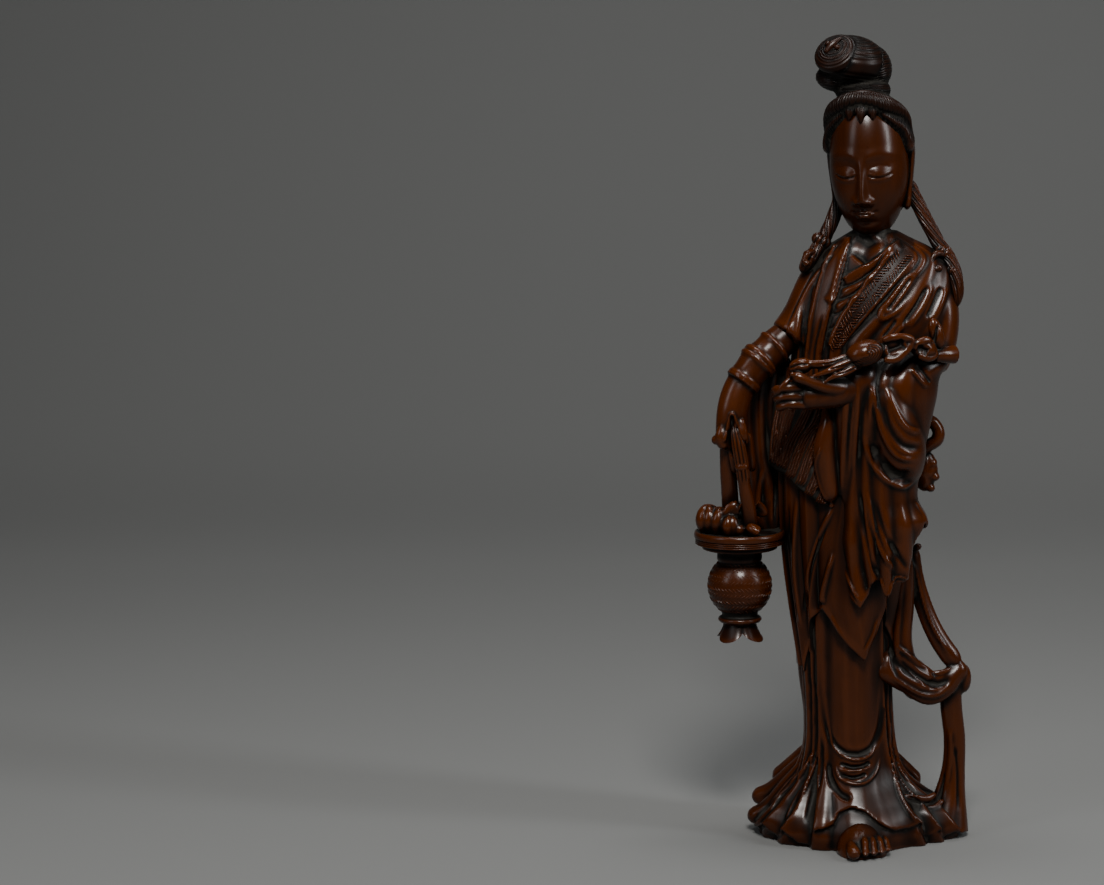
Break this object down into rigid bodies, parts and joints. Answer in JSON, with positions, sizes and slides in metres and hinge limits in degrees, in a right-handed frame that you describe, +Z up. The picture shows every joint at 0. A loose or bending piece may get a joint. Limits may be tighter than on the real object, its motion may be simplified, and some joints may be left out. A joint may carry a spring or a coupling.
{
  "type": "carved guanyin statuette",
  "caption": "Standing Guanyin in flowing robes, carved from one block of wood, with a hanging flower basket, a lotus spray over the forearm and a spreading scalloped hem as its base.",
  "frame": {"origin": "centre of the flat underside of the spread hem, on the surface the figure stands on", "axes": "+Z up along the figure, -Y towards the front view of the picture, +X to the figure's own left"},
  "size_m": [0.147, 0.1051, 0.4264],
  "materials": {
    "boxwood": "polished red-brown wood with black patina in the recesses"
  },
  "bodies": {
    "root": {"guanyin_figure": "boxwood"}
  },
  "joints": []
}
